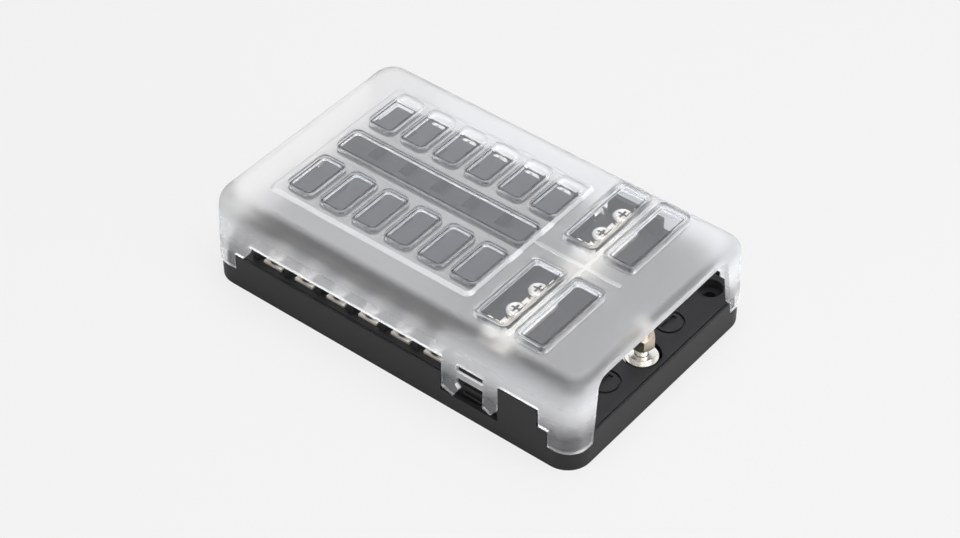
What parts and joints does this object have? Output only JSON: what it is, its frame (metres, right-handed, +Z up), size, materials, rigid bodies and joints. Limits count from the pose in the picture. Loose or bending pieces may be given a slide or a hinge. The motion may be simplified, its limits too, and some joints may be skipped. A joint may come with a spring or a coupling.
{
  "type": "fuse box",
  "caption": "Blade fuse box: black terminal base with studs, screw terminals and a negative bus, under a frosted lift-off cover.",
  "frame": {"origin": "middle of the underside", "axes": "+X along the length towards the negative stud, +Y across, +Z up"},
  "size_m": [0.165, 0.1036, 0.0418],
  "materials": {
    "black_plastic": "fine moulded texture, satin",
    "frosted_cover": "frosted moulded walls with clear windows",
    "nickel_plate": "nickel plated",
    "plated_screw": "nickel plated",
    "stud_nickel": "warm nickel plated",
    "dark_screw": "zinc plated"
  },
  "bodies": {
    "base": {"base_tray": "black_plastic", "terminal_housing": "black_plastic", "positive_bus_bar": "nickel_plate", "output_terminal_01": "nickel_plate", "output_terminal_02": "nickel_plate", "output_terminal_03": "nickel_plate", "output_terminal_04": "nickel_plate", "output_terminal_05": "nickel_plate", "output_terminal_06": "nickel_plate", "output_terminal_07": "nickel_plate", "output_terminal_08": "nickel_plate", "output_terminal_09": "nickel_plate", "output_terminal_10": "nickel_plate", "output_terminal_11": "nickel_plate", "output_terminal_12": "nickel_plate", "terminal_screws": "plated_screw", "negative_bus_plate_front": "nickel_plate", "negative_bus_plate_rear": "nickel_plate", "negative_link_bar": "nickel_plate", "negative_bus_screws": "plated_screw", "housing_screws": "dark_screw", "negative_stud": "plated_screw", "negative_washer": "plated_screw", "negative_spring_washer": "plated_screw", "negative_nut": "stud_nickel", "positive_stud": "plated_screw", "positive_washer": "plated_screw", "positive_spring_washer": "plated_screw", "positive_nut": "stud_nickel"},
    "lid": {"cover": "frosted_cover"}
  },
  "joints": [
    {"name": "cover_lift", "type": "slide", "parent": "base", "child": "lid", "axis": [0, 0, 1], "range_m": [0, 0.06]}
  ]
}
